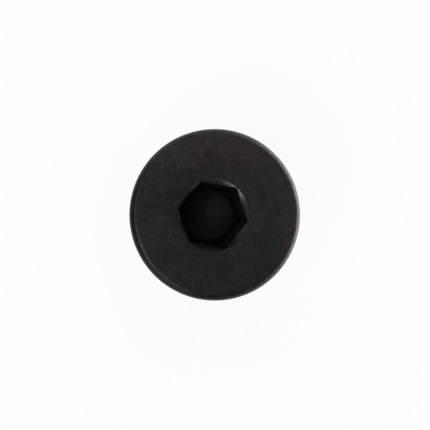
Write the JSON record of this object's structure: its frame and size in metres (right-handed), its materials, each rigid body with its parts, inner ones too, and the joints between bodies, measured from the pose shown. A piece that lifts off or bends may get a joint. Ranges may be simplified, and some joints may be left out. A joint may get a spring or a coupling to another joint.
{
  "type": "low head socket cap screw",
  "caption": "Low head socket cap screw in black oxide steel: thin round head with a hexagon socket, short threaded shank with a chamfered end.",
  "frame": {"origin": "on the screw's axis, in the plane of the bearing face under the head", "axes": "+Z runs along the axis from the bearing face to the top of the head; the threaded shank points along -Z; a corner of the hexagon lies 49.3 degrees from +X towards +Y"},
  "size_m": [0.0085, 0.0084, 0.0135],
  "materials": {
    "black_oxide_steel": "matte"
  },
  "bodies": {
    "root": {"cap_screw": "black_oxide_steel"}
  },
  "joints": []
}
